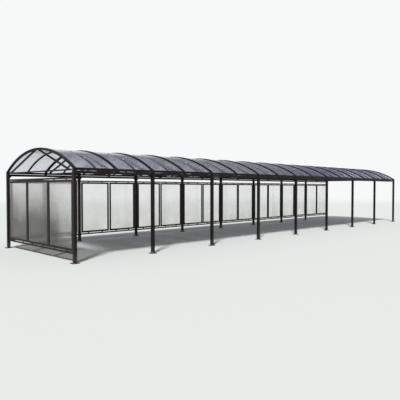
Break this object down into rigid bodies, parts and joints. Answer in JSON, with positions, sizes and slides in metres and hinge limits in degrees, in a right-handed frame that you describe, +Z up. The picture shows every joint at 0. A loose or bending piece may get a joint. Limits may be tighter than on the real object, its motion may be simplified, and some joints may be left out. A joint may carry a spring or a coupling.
{
  "type": "bike shelter",
  "caption": "Long open-fronted bike shelter: two rows of posts with base plates, arched trusses, a curved translucent roof, and frosted glazed panels along the back and one end.",
  "frame": {"origin": "middle of the footprint, at ground level under the base plates", "axes": "+X along the shelter, from the walled end to the open end; +Z up; the open front faces -Y and the glazed back wall faces +Y"},
  "size_m": [19.38, 4.18, 2.8943],
  "materials": {
    "charcoal_steel": "satin powder coat",
    "frosted_glazing": "frosted",
    "roof_glazing": "smoke tinted, translucent"
  },
  "bodies": {
    "root": {"eave_packers": "charcoal_steel", "end_wall_panel_frames": "charcoal_steel", "end_wall_panes": "frosted_glazing", "end_wall_rails": "charcoal_steel", "front_eave_beam": "charcoal_steel", "front_eave_rail": "charcoal_steel", "front_post_1": "charcoal_steel", "front_post_2": "charcoal_steel", "front_post_3": "charcoal_steel", "front_post_4": "charcoal_steel", "front_post_5": "charcoal_steel", "front_post_6": "charcoal_steel", "front_post_7": "charcoal_steel", "front_post_8": "charcoal_steel", "front_post_9": "charcoal_steel", "rear_eave_beam": "charcoal_steel", "rear_eave_rail": "charcoal_steel", "rear_post_1": "charcoal_steel", "rear_post_2": "charcoal_steel", "rear_post_3": "charcoal_steel", "rear_post_4": "charcoal_steel", "rear_post_5": "charcoal_steel", "rear_post_6": "charcoal_steel", "rear_post_7": "charcoal_steel", "rear_post_8": "charcoal_steel", "rear_post_9": "charcoal_steel", "rear_wall_panel_frames": "charcoal_steel", "rear_wall_panes": "frosted_glazing", "rear_wall_rails": "charcoal_steel", "roof_arch_1": "charcoal_steel", "roof_arch_10": "charcoal_steel", "roof_arch_11": "charcoal_steel", "roof_arch_12": "charcoal_steel", "roof_arch_13": "charcoal_steel", "roof_arch_14": "charcoal_steel", "roof_arch_15": "charcoal_steel", "roof_arch_16": "charcoal_steel", "roof_arch_17": "charcoal_steel", "roof_arch_2": "charcoal_steel", "roof_arch_3": "charcoal_steel", "roof_arch_4": "charcoal_steel", "roof_arch_5": "charcoal_steel", "roof_arch_6": "charcoal_steel", "roof_arch_7": "charcoal_steel", "roof_arch_8": "charcoal_steel", "roof_arch_9": "charcoal_steel", "roof_braces": "charcoal_steel", "roof_sheets": "roof_glazing", "roof_ties": "charcoal_steel"}
  },
  "joints": []
}
